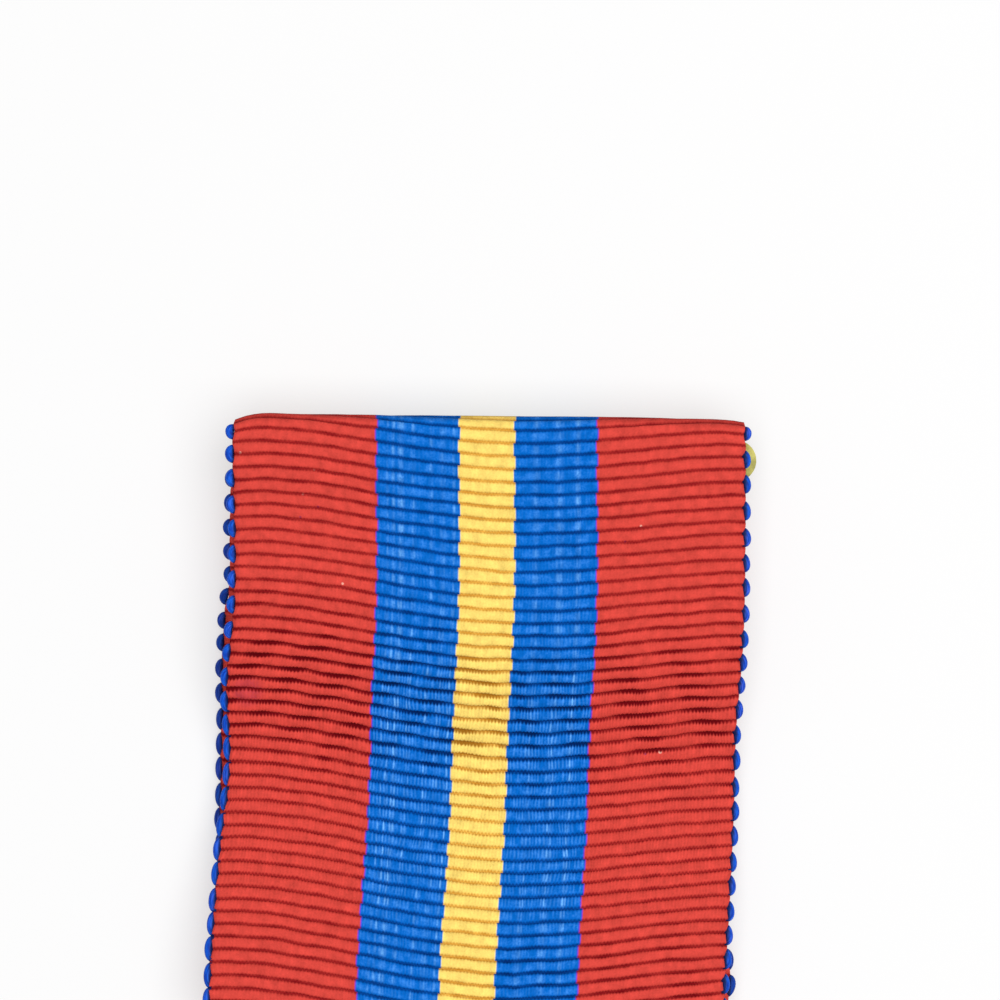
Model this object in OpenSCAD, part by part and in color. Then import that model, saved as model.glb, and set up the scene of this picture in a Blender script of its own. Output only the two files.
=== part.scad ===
// Merit medal lying flat: a round pendant on a ring, under a doubled ribbon with a brooch pin behind it.
// Millimetres. The origin is the middle of the pendant's back face, on the surface that the medal
// lies on. +Z is up from that surface, +Y runs up the ribbon to its top fold.

/* [Ribbon] */
// Woven width, without the loops of thread along the edges
ribbon_w = 36.8; // [35:0.2:38]
// Thickness of one layer of cloth, over its ribs
cloth_t = 1; // [0.8:0.05:1]
// Distance from one rib to the next
rib_pitch = 0.94; // [0.9:0.01:1]
// Depth of the groove between two ribs
rib_depth = 0.2; // [0.05:0.05:0.3]
// How far the ends of a rib stand above its middle
rib_bow = 1.5; // [0:0.1:2]
// How far the loops of thread stand out from the woven edge
loop_h = 0.55; // [0:0.05:0.7]
// Length at full width, from the top fold to the corners
straight_l = 45.5; // [44:0.5:47]
// Length over which the corners are folded in
taper_l = 9.5; // [8:0.5:10]
// Width of the neck that goes round the ring
neck_w = 6.6; // [5:0.2:6.6]
// Sideways shift of the top fold, from the way that the ribbon bends to one side
top_shift = -0.42; // [-0.6:0.02:0]
// How much higher the top fold is at its right end than in its middle
fold_rise = 0.72; // [0:0.02:0.9]
// How far the fold's corners are rounded down at the edges
corner_drop = 0.4; // [0:0.1:1]

/* [Ring] */
// Diameter of the ring at the middle of its wire
ring_d = 11.4; // [11:0.1:11.6]
// Diameter of the ring's wire
ring_wire = 1.4; // [1.2:0.1:1.4]

/* [Pendant] */
// Diameter of the pendant
disc_d = 34; // [30:0.5:36]
// Thickness of the pendant at its rim
disc_t = 2.6; // [2.2:0.1:3]
// Width of the raised rim
rim_w = 1.3; // [1:0.1:2]
// How far the rim stands above the field
rim_h = 0.5; // [0.3:0.1:0.7]
// Radius of the star's points
star_r = 9.2; // [7:0.2:10]
// How far the middle of the star stands above the field
star_h = 0.8; // [0.4:0.1:1]

/* [Brooch pin] */
// Width of the bar behind the ribbon
bar_w = 3.05; // [2.6:0.05:3.2]
// Thickness of the bar
bar_t = 0.6; // [0.4:0.1:0.6]
// Length of the bar past the woven edge on the right
bar_right = 1.2; // [0.8:0.05:1.4]
// Length of the bar past the woven edge on the left
bar_left = 0.3; // [0:0.05:0.5]
// Distance from the top fold down to the middle of the bar
bar_drop = 3.35; // [3:0.05:3.6]
// Height of the bar's face above the table, over the needle
bar_top = 3.1; // [2.9:0.1:3.4]
// Diameter of the needle
needle_d = 0.9; // [0.7:0.1:0.9]

/* [Hidden] */
$fn = 96;
eps = 0.01;

// Lug: a short barrel on the rim, drilled from side to side for the ring
lug_r = 1.9;
lug_l = 3;
lug_hole_r = 1.1;
lug_y = disc_d / 2 + 1.6;
lug_z = 2;
lug_web_w = 5.5;
lug_web_low = 0.4;
lug_web_high = 2;

// Ring, level, held in the lug at one end and in the ribbon's neck at the other
ring_r = ring_d / 2;
ring_y = lug_y + ring_r;
ring_z = 1.85;

// Path of the ribbon's outer face: front layer, neck round the ring, back layer, top fold
table_gap = 0.05;
ring_gap = 0.1;
neck_r = ring_wire / 2 + ring_gap + cloth_t;
neck_y = ring_y + ring_r;
neck_s = straight_l + taper_l + 2;
neck_dip = 1.4;
neck_dip_from = 50;
neck_z = table_gap + neck_r;
top_y = neck_y + neck_s;
top_r = cloth_t + 0.15;
fold_out = 0.82;
top_z = bar_top + 0.1 + top_r;
low_z = table_gap + 2 * cloth_t + 0.15;
crest_z = 4.7;
lift_z = 1.6;
bend_l = 13;
tilt_l = 20;
corner_l = 3.5;

// Height of the front layer's face, by distance below the top fold: high over the brooch pin,
// down in a slope to where both layers lie on the table, and up in a wave above the ring
DISTANCE = 0;
VALUE = 1;
FRONT_HEIGHT = [
    [top_r, top_z + top_r],
    [15, top_z + top_r - 0.1],
    [26, low_z],
    [28.5, low_z],
    [42.5, crest_z],
    [neck_s - 1.6, neck_z + neck_r]
];

// Height of the back layer's underside, which sinks to the table sooner
BACK_HEIGHT = [
    [5.4, top_z - top_r],
    [18, table_gap],
    [33, table_gap],
    [43.5, lift_z],
    [neck_s - 5, table_gap]
];

// Sideways shift of the back layer, which shows past the front one on either side
BACK_SHIFT = [
    [12, 0],
    [20, -1.2],
    [29, -1],
    [35, 0],
    [41, 0.5],
    [46, 0]
];

// Outer face of the cloth seen from the side, as distance and height: front, neck, back, top fold
RUN_STEPS = 110;
TURN_STEPS = 12;
function run_s(k) = top_r + (neck_s - top_r) * k / RUN_STEPS;
function turn(s, z, out, r, a) = [s + out * sin(a), z + r * cos(a)];
SIDE = concat(
    [for (k = [0 : RUN_STEPS]) [run_s(k), level(FRONT_HEIGHT, run_s(k))]],
    [for (k = [1 : TURN_STEPS - 1]) turn(neck_s, neck_z, neck_r, neck_r, 180 * k / TURN_STEPS)],
    [for (k = [RUN_STEPS : -1 : 0]) [run_s(k), level(BACK_HEIGHT, run_s(k))]],
    [for (k = [1 : TURN_STEPS]) turn(top_r, top_z, fold_out, top_r, 180 + 180 * k / TURN_STEPS)]
);
function leg(k) = k < len(SIDE) ? norm(SIDE[k] - SIDE[k - 1]) : 0;
LENGTH_AT = [for (k = 0, l = 0; k < len(SIDE); k = k + 1, l = l + leg(k)) l];
S_AT = [for (k = [0 : len(SIDE) - 1]) [LENGTH_AT[k], SIDE[k][0]]];
Z_AT = [for (k = [0 : len(SIDE) - 1]) [LENGTH_AT[k], SIDE[k][1]]];
loop_l = LENGTH_AT[len(SIDE) - 1];
tangent_step = 0.25;

// Ribs all the way round, an even number because each loop of thread spans two
RIB_ROWS = 3;
LOOP_ROWS = 2 * RIB_ROWS;
ribs = 2 * round(loop_l / rib_pitch / 2);
rows = ribs * RIB_ROWS;

// Places of the columns across the ribbon, closer at the edges
corner_u = 0.93;
ACROSS = [-1, -corner_u, -0.6, -0.2, 0.2, 0.6, corner_u, 1];
COLUMNS = len(ACROSS);

function ease(t) = let (c = min(1, max(0, t))) c * c * (3 - 2 * c);

// Value of a table at a distance, eased from each row to the next
function level(table, s, k = 0) =
    k >= len(table) - 2 || s < table[k + 1][DISTANCE]
    ? let (a = table[k], b = table[k + 1])
        a[VALUE] + (b[VALUE] - a[VALUE]) * ease((s - a[DISTANCE]) / (b[DISTANCE] - a[DISTANCE]))
    : level(table, s, k + 1);

function wrap(m) = m < 0 ? m + loop_l : m >= loop_l ? m - loop_l : m;

// Place on the outer face, by length along it: distance below the top fold, and height
function place(m) = let (w = wrap(m)) [lookup(w, S_AT), lookup(w, Z_AT)];

// The place, and the two parts of the direction that points out of the cloth there
function path(m) =
    let (
        p = place(m),
        d = place(m + tangent_step) - place(m - tangent_step)
    )
    [p[0], p[1], -d[1] / norm(d), d[0] / norm(d)];

function half_width(s) =
    let (t = min(1, max(0, (s - straight_l) / taper_l)))
    ribbon_w / 2 + (neck_w / 2 - ribbon_w / 2) * t;

// Rise of a rib above its middle, from its place across the full width (-1 to 1)
function bow(v) = rib_bow * (2.2 * v * v - 1.2 * pow(v, 4));

// Place of a row on the path in one column, once the bow of the ribs is taken off
function row_m(i, u, steps = 2) =
    let (m = i / rows * loop_l)
    steps == 0
    ? m
    : let (s = place(row_m(i, u, steps - 1))[0])
        m - bow(u * half_width(s) * 2 / ribbon_w);

// Point of the cloth: row, place across (-1 to 1), and depth below the outer face
function cloth_point(i, u, depth) =
    let (
        p = path(row_m(i, u)),
        s = p[0],
        full = s < straight_l ? 1 : 0,
        loops = full * (abs(u) == 1 ? sign(u) * loop_h * (1 - cos(360 * i / LOOP_ROWS)) / 2 : 0),
        shift = p[3] < 0 ? level(BACK_SHIFT, s) : 0,
        x = top_shift * (1 - ease(s / bend_l)) + u * half_width(s) + loops + shift,
        dip = neck_dip * u * u * ease((s - neck_dip_from) / (neck_s - neck_dip_from)),
        tilt = fold_rise * u * (1 - ease(s / tilt_l)),
        corner = corner_drop * max(0, abs(u) - corner_u) / (1 - corner_u) * (1 - ease(s / corner_l))
    )
    [x, top_y - s - dip + tilt - corner + depth * p[2], p[1] - depth * p[3]];

// One ribbed strip of cloth, closed round the ring at the neck and over the top fold
module ribbon() {
    outer = [
        for (i = [0 : rows - 1], j = [0 : COLUMNS - 1])
            cloth_point(i, ACROSS[j], i % RIB_ROWS == 0 ? rib_depth : 0)
    ];
    inner = [
        for (k = [0 : ribs - 1], j = [0 : COLUMNS - 1])
            cloth_point(k * RIB_ROWS, ACROSS[j], cloth_t)
    ];
    function o(i, j) = (i % rows) * COLUMNS + j;
    function n(k, j) = len(outer) + (k % ribs) * COLUMNS + j;
    outer_faces = [
        for (i = [0 : rows - 1], j = [0 : COLUMNS - 2], half = [0, 1])
            half == 0
            ? [o(i, j), o(i, j + 1), o(i + 1, j + 1)]
            : [o(i, j), o(i + 1, j + 1), o(i + 1, j)]
    ];
    inner_faces = [
        for (k = [0 : ribs - 1], j = [0 : COLUMNS - 2], half = [0, 1])
            half == 0
            ? [n(k, j), n(k + 1, j + 1), n(k, j + 1)]
            : [n(k, j), n(k + 1, j), n(k + 1, j + 1)]
    ];
    last = COLUMNS - 1;
    edge_faces = [
        for (k = [0 : ribs - 1], r = [0 : RIB_ROWS - 1], side = [0, 1])
            let (i = k * RIB_ROWS + r)
            side == 0
            ? [n(k, 0), o(i, 0), o(i + 1, 0)]
            : [n(k, last), o(i + 1, last), o(i, last)]
    ];
    close_faces = [
        for (k = [0 : ribs - 1], side = [0, 1])
            let (i = (k + 1) * RIB_ROWS)
            side == 0
            ? [n(k, 0), o(i, 0), n(k + 1, 0)]
            : [n(k, last), n(k + 1, last), o(i, last)]
    ];
    color("firebrick")
        polyhedron(
            points = concat(outer, inner),
            faces = concat(outer_faces, inner_faces, edge_faces, close_faces)
        );
}

// Bar with round ends behind the top fold, and a needle between its hinge block and its catch
bar_l = ribbon_w + bar_left + bar_right;
bar_x = top_shift + (bar_right - bar_left) / 2;
bar_z = bar_top - bar_t;
bar_tilt = atan(2 * fold_rise / ribbon_w);
block_w = 2;
hinge_l = 2.4;
hinge_x = -14.5;
catch_l = 2.2;
catch_x = 13.5;
catch_hole_r = 0.65;
catch_mouth_w = 1.1;
needle_z = 0.75;
needle_tip_l = 2.5;
needle_end = catch_x + catch_l;

module bar_outline() {
    square([bar_l - bar_w, bar_w], center = true);
    for (side = [-1, 1])
        translate([side * (bar_l - bar_w) / 2, 0])
            circle(d = bar_w);
}

module pin_catch() {
    difference() {
        translate([catch_x, -block_w / 2, 0])
            cube([catch_l, block_w, bar_z + eps]);
        translate([catch_x - eps, 0, needle_z])
            rotate([0, 90, 0])
                cylinder(r = catch_hole_r, h = catch_l + 2 * eps);
        translate([catch_x - eps, -block_w, needle_z - catch_mouth_w / 2])
            cube([catch_l + 2 * eps, block_w, catch_mouth_w]);
    }
}

module brooch_pin() {
    color("goldenrod")
        translate([bar_x, top_y - bar_drop, 0])
            rotate([0, 0, bar_tilt]) {
                translate([0, 0, bar_z])
                    linear_extrude(bar_t)
                        bar_outline();
                translate([hinge_x, -block_w / 2, 0])
                    cube([hinge_l, block_w, bar_z + eps]);
                translate([hinge_x + hinge_l - eps, 0, needle_z])
                    rotate([0, 90, 0])
                        cylinder(d = needle_d, h = needle_end - needle_tip_l - hinge_x - hinge_l);
                translate([needle_end - needle_tip_l - eps, 0, needle_z])
                    rotate([0, 90, 0])
                        cylinder(d1 = needle_d, d2 = needle_d / 6, h = needle_tip_l);
                pin_catch();
            }
}

module suspension_ring() {
    color("darkgoldenrod")
        translate([0, ring_y, ring_z])
            rotate_extrude()
                translate([ring_r, 0])
                    circle(d = ring_wire);
}

// Pendant: flat back, raised rim, a thin raised line inside it and a star in low relief
field_z = disc_t - rim_h;
edge_round = 0.35;
line_r = disc_d / 2 - rim_w - 1.2;
line_w = 0.5;
line_h = 0.2;
STAR_POINTS = 5;
star_waist = 0.4;
star_sunk = 0.1;

function star_corner(k) =
    let (r = k % 2 == 0 ? star_r : star_r * star_waist, a = 90 + 180 * k / STAR_POINTS)
    [r * cos(a), r * sin(a), field_z - star_sunk];

module star() {
    corners = 2 * STAR_POINTS;
    points = concat(
        [for (k = [0 : corners - 1]) star_corner(k)],
        [[0, 0, field_z + star_h], [0, 0, field_z - 2 * star_sunk]]
    );
    polyhedron(
        points = points,
        faces = [
            for (k = [0 : corners - 1], side = [0, 1])
                let (next = (k + 1) % corners)
                side == 0 ? [k, corners, next] : [k, next, corners + 1]
        ]
    );
}

module disc_body() {
    r = disc_d / 2;
    rotate_extrude()
        polygon([
            [0, 0],
            [r - edge_round, 0],
            [r, edge_round],
            [r, disc_t - edge_round],
            [r - edge_round, disc_t],
            [r - rim_w + edge_round, disc_t],
            [r - rim_w, field_z],
            [line_r + line_w, field_z],
            [line_r + line_w * 0.7, field_z + line_h],
            [line_r + line_w * 0.3, field_z + line_h],
            [line_r, field_z],
            [0, field_z]
        ]);
}

module medal_disc() {
    web_from = disc_d / 2 - rim_w;
    color("peru")
        difference() {
            union() {
                disc_body();
                star();
                translate([0, 0, lug_web_low])
                    linear_extrude(lug_web_high - lug_web_low)
                        polygon([
                            [-lug_web_w / 2, web_from],
                            [lug_web_w / 2, web_from],
                            [lug_l / 2, lug_y],
                            [-lug_l / 2, lug_y]
                        ]);
                translate([-lug_l / 2, lug_y, lug_z])
                    rotate([0, 90, 0])
                        cylinder(r = lug_r, h = lug_l);
            }
            translate([-lug_web_w, lug_y, lug_z])
                rotate([0, 90, 0])
                    cylinder(r = lug_hole_r, h = 2 * lug_web_w);
        }
}

ribbon();
brooch_pin();
suspension_ring();
medal_disc();
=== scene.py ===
"""Merit medal lying flat: ribbed, striped ribbon over a brooch pin, with its ring and bronze pendant."""
import math
import random

import bpy
import numpy as np
from mathutils import Matrix, Vector, noise


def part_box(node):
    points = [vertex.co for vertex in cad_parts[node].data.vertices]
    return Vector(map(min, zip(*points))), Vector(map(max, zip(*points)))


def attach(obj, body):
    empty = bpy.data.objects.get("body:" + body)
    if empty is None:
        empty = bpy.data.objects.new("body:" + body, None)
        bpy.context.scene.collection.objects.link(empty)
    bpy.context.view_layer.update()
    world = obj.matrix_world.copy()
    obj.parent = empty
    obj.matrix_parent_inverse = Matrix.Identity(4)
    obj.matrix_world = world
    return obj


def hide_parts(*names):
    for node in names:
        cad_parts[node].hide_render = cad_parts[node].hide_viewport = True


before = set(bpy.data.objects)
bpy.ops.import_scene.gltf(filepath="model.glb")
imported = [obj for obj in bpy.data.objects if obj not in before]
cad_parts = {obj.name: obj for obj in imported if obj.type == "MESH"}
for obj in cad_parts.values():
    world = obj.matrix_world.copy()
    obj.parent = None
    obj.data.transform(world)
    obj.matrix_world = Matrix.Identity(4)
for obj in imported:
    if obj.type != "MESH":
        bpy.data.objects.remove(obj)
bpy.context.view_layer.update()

MM = 0.001
BODY = "root"


def box_mm(node):
    """Lowest and highest corner of a solid, in millimetres, as all sizes below are."""
    low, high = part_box(node)
    return np.array(low) / MM, np.array(high) / MM


# Ring, from its solid
ring_low, ring_high = box_mm("suspension_ring")
RING_WIRE = ring_high[2] - ring_low[2]
RING_R = (ring_high[1] - ring_low[1] - RING_WIRE) / 2
RING_Y = (ring_high[1] + ring_low[1]) / 2
RING_Z = (ring_high[2] + ring_low[2]) / 2

# Ribbon, with its solid's sizes, but the cloth is thinner and its ribs have their own relief. Grooves
# take up GROOVE_SHARE of a rib at each of its ends.
CLOTH_W = 36.8
CLOTH_T = 0.88
RIB_PITCH = 0.94
GROOVE_DEPTH = 0.15
GROOVE_SHARE = 0.2
RIB_CROWN = 0.06
FACE_TOP = 5.5
TABLE_GAP = 0.05

# Down the ribbon: straight edges, the taper, and the neck round the ring, where the edges dip
STRAIGHT_L = 45.5
TAPER_L = 9.5
NECK_W = 6.6
NECK_L = STRAIGHT_L + TAPER_L + 2
NECK_R = 1.8
NECK_Z = RING_Z
NECK_DIP = 1.4
NECK_DIP_FROM = 50

# Top fold: its turn, its slant, its rounded corners and its shift, and the lengths over which they fade
TOP_Y = RING_Y + RING_R + NECK_L
TOP_R = 1.15
FOLD_OUT = 0.82
FOLD_RISE = 0.72
TILT_L = 20
LEFT_CORNER_DROP = 0.52
RIGHT_CORNER_DROP = 0.12
CORNER_U = 0.86
CORNER_L = 3.5
TOP_SHIFT = -0.42
BEND_L = 13

# Length over which the bow of the ribs changes, how far the front layer's right side sinks low down, and
# the steps of the path along a layer and round a turn
BOW_L = 45
RIGHT_LOW = 1.3
PATH_STEPS = 440
TURN_STEPS = 48

# Height of the front layer's face and of the back layer's underside, by distance below the top fold
FRONT_HEIGHT = [
    (3, FACE_TOP),
    (9, FACE_TOP - 0.3),
    (16, FACE_TOP - 0.3),
    (26.5, 2.2),
    (28.5, 2.2),
    (42.5, 4.7),
    (NECK_L - 1.6, NECK_Z + NECK_R),
]
BACK_HEIGHT = [
    (5.4, FACE_TOP - 2 * TOP_R),
    (18, TABLE_GAP),
    (33, TABLE_GAP),
    (43.5, 1.6),
    (NECK_L - 5, TABLE_GAP),
]
# Sideways shifts by distance: the whole back layer, and the front layer's middle, left and right edges
BACK_SHIFT = [(2, 0), (4, -0.3), (6.5, -0.52), (9.5, -0.62), (12.5, -0.6), (15.5, -0.95), (19, -1.0),
              (24, -0.8), (30, -0.62), (37, -0.1), (41, 0.5), (46, 0)]
MIDDLE_SHIFT = [(0, -0.1), (9, -0.05), (16.6, 0.06), (22, 0.01), (30, 0.08), (41, -0.11), (50, 0)]
LEFT_SHIFT = [(3, -0.2), (10, -0.12), (14, -0.08), (21, -0.41), (26.4, -0.12), (33, -0.5), (44, -0.5),
              (48, 0)]
RIGHT_SHIFT = [(0, 0.17), (14, 0.12), (22, 0.04), (28, 0.13), (44, 0.16), (48, 0)]
# How far the ribs have crept down from an even spacing, by distance: left edge, middle, right edge
CREEP = [
    (2, 0.20, 0.20, 0.26),
    (7, 0.20, 0.21, 0.26),
    (12.3, 0.29, 0.12, 0.0),
    (17.5, 0.34, 0.09, -0.25),
    (20.1, 0.38, 0.09, -0.25),
    (22.7, 0.41, 0.19, -0.06),
    (26.5, 0.31, 0.30, 0.16),
    (30.6, 0.16, 0.24, 0.06),
    (35, 0.0, 0.11, 0.04),
    (40, -0.08, 0.09, 0.04),
    (46, 0.0, 0.0, 0.0),
]
# How far the grooves between the ribs stand open, and how clearly the threads show, by distance
OPENED = [(3, 0.1), (7, 0.2), (11, 0.05), (14, 0.12), (16.5, 0.35), (20.3, 1.0), (23.5, 1.0), (27.5, 0.35),
          (31, 0.05), (36, 0.05), (41, 0.55)]
CLEAR_THREADS = [(6, 0.2), (17, 0.45), (22, 1.0), (33, 1.0), (39, 0.4)]
# The open places lie in slanting rows, left and right: side, spacing across, step out at each rib, start
GAP_ROWS = [(-1, 3.4, 0.65, 0.1), (1, 4.7, 0.42, 1.7)]
# Amount, size and seed of the noises in those rows and in the lines of the ribs
GAP_DRIFT = [(0.8, 5.0, 31.0), (0.7, 1.6, 37.0)]
RIB_WAVER = [(0.1, 5.0, 3.0), (0.05, 0.9, 15.0)]

# Stripes across the cloth from its middle line, the same on both sides of STRIPE_X
STRIPE_X = -0.19
YELLOW_HALF = 2.01
BLUE_HALF = 8.01
THREAD = 0.25


def srgb(red, green, blue, scale=1.0):
    """A colour as it is seen, 0 to 255, to the linear one that a material takes."""
    def linear(c):
        c = c / 255
        return c / 12.92 if c <= 0.04045 else ((c + 0.055) / 1.055) ** 2.4
    return tuple(min(1.0, linear(c) * scale) for c in (red, green, blue)) + (1.0,)


def ease(t):
    t = np.clip(t, 0, 1)
    return t * t * (3 - 2 * t)


def level(table, s):
    """Value of a table at a distance, eased from each row to the next."""
    s = np.asarray(s, float)
    value = np.full(s.shape, float(table[0][1]))
    for (s0, v0), (s1, v1) in zip(table, table[1:]):
        value = value + (v1 - v0) * ease((s - s0) / (s1 - s0))
    return value


# Path of the ribbon

def side_line():
    """The cloth's outer face seen from the side, as distance and height: front, neck, back, top fold."""
    run = TOP_R + (NECK_L - TOP_R) * np.arange(PATH_STEPS + 1) / PATH_STEPS
    turn = np.pi * np.arange(1, TURN_STEPS + 1) / TURN_STEPS
    front = np.stack([run, level(FRONT_HEIGHT, run)], 1)
    neck = np.stack([NECK_L + NECK_R * np.sin(turn), NECK_Z + NECK_R * np.cos(turn)], 1)
    back = np.stack([run, level(BACK_HEIGHT, run)], 1)[::-1]
    fold_z = FACE_TOP - TOP_R
    fold = np.stack([TOP_R - FOLD_OUT * np.sin(turn), fold_z - TOP_R * np.cos(turn)], 1)
    return np.concatenate([front, neck[:-1], back, fold])


SIDE = side_line()
SIDE_LENGTH = np.concatenate([[0], np.cumsum(np.linalg.norm(np.diff(SIDE, axis=0), axis=1))])
LOOP_L = SIDE_LENGTH[-1]
RIBS = 2 * round(LOOP_L / RIB_PITCH / 2)


def place(m):
    """Distance below the top fold and height on the outer face, at a length along it."""
    m = np.mod(m, LOOP_L)
    return np.interp(m, SIDE_LENGTH, SIDE[:, 0]), np.interp(m, SIDE_LENGTH, SIDE[:, 1])


def half_width(s):
    taper = np.clip((s - STRAIGHT_L) / TAPER_L, 0, 1)
    return CLOTH_W / 2 + (NECK_W - CLOTH_W) / 2 * taper


def bow(v, s):
    """Rise of a rib above its middle: higher at both ends, with a lean that changes down the ribbon."""
    t = np.clip(s / BOW_L, 0, 1)
    even = (3.2 + 0.5 * t) * v**2 - (1.8 + 0.15 * t) * v**4
    lean = -(0.84 - 0.27 * t) * v + (0.46 + 0.34 * t) * v**3
    return even + lean


def creep(u, s):
    """Place of a rib below its even one, from the table's left, middle and right columns."""
    left, middle, right = (level([(row[0], row[k]) for row in CREEP], s) for k in (1, 2, 3))
    return middle + (right - left) / 2 * u + ((right + left) / 2 - middle) * u**2


def fold_line(u, s):
    """How much higher or lower than its middle the top fold is, with its corners rounded down."""
    slant = (0.09 + FOLD_RISE * u) * (1 - ease(s / TILT_L)) - 0.17 * u**3 * (1 - ease(s / 5))
    drop = np.where(u < 0, LEFT_CORNER_DROP, RIGHT_CORNER_DROP)
    corner = drop * np.clip((np.abs(u) - CORNER_U) / (1 - CORNER_U), 0, 1) ** 2
    return slant - corner * (1 - ease(s / CORNER_L))


def smooth_noise(a, b, size, seed):
    """Smooth noise at places given in millimetres, from about -1 to 1."""
    a, b = np.broadcast_arrays(a, b)
    values = [noise.noise(Vector((p / size, q / size, seed))) for p, q in zip(a.ravel(), b.ravel())]
    return np.array(values).reshape(a.shape)


def noise_sum(a, b, parts):
    """Several such noises added up, from rows of amount, size and seed."""
    return sum(amount * smooth_noise(a, b, size, seed) for amount, size, seed in parts)


def gap_rows(x, rib):
    """Angle round the slanting rows of open places, 0 in the middle of each, by place across and rib."""
    drift = noise_sum(x, RIB_PITCH * rib, GAP_DRIFT)
    left, right = (2 * np.pi * (side * x - start - step * rib) / gap for side, gap, step, start in GAP_ROWS)
    return left + (right - left) * ease((x + 4) / 8) + drift


def path_frame(m):
    """Place on the outer face at a length, and the direction that points out of the cloth."""
    near = 0.25
    s, z = place(m)
    s_next, z_next = place(m + near)
    s_last, z_last = place(m - near)
    ds, dz = s_next - s_last, z_next - z_last
    step = np.hypot(ds, dz)
    return s, z, -dz / step, ds / step


def cloth_point(rib, u, depth):
    """Points of the cloth by rib count, place across from -1 to 1, and depth below the outer face."""
    rib, u, depth = np.broadcast_arrays(np.asarray(rib, float), u, depth)
    length = rib / RIBS * LOOP_L
    on_back = np.mod(length, LOOP_L) > LOOP_L / 2

    # Bow and creep depend on the place that they lead to, which a few rounds find
    m = length
    for _ in range(4):
        s = place(m)[0]
        crept = np.where(on_back, creep(u, 0 * s) * (1 - ease((s - TOP_R) / 8)), creep(u, s))
        m = length - bow(u * half_width(s) * 2 / CLOTH_W, s) + crept

    s, z, out_s, out_z = path_frame(m)
    on_front = out_z > 0
    edge = np.where(u < 0, level(LEFT_SHIFT, s), level(RIGHT_SHIFT, s)) * np.abs(u) ** 3
    shift = np.where(on_front, level(MIDDLE_SHIFT, s) + edge, level(BACK_SHIFT, s))
    x = TOP_SHIFT * (1 - ease(s / BEND_L)) + u * half_width(s) + shift
    dip = NECK_DIP * u * u * ease((s - NECK_DIP_FROM) / (NECK_L - NECK_DIP_FROM))
    y = TOP_Y - s - dip + fold_line(u, s) + depth * out_s
    right_low = RIGHT_LOW * ease((u - 0.25) / 0.75) * ease((s - 35) / 8) * (1 - ease((s - STRAIGHT_L) / 6))
    return np.stack([x, y, z - depth * out_z - right_low * on_front], -1), s, on_front


# Mesh and material helpers

def add_mesh(name, points_mm, faces, material):
    mesh = bpy.data.meshes.new(name)
    mesh.from_pydata((np.asarray(points_mm) * MM).tolist(), [], faces)
    mesh.polygons.foreach_set("use_smooth", [True] * len(mesh.polygons))
    mesh.materials.append(material)
    mesh.update()
    piece = bpy.data.objects.new(name, mesh)
    bpy.context.scene.collection.objects.link(piece)
    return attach(piece, BODY)


def add_vectors(piece, name, vectors):
    attribute = piece.data.attributes.new(name, "FLOAT_VECTOR", "POINT")
    attribute.data.foreach_set("vector", np.asarray(vectors, np.float32).ravel())


def grid_faces(rows, columns, close_rows=False, close_columns=False, first=0):
    """Four-sided faces of a grid of points that are numbered row by row."""
    i = np.arange(rows if close_rows else rows - 1)[:, None]
    j = np.arange(columns if close_columns else columns - 1)[None, :]
    i_next, j_next = (i + 1) % rows, (j + 1) % columns
    quads = [i * columns + j, i * columns + j_next, i_next * columns + j_next, i_next * columns + j]
    return (np.stack(quads, -1).reshape(-1, 4) + first).tolist()


def tube_faces(rings, sides, first=0):
    """Faces of a tube whose rings of points are numbered one after another, closed at both ends."""
    last = first + (rings - 1) * sides
    ends = [list(range(first, first + sides))[::-1], list(range(last, last + sides))]
    return grid_faces(rings, sides, False, True, first) + ends


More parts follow.
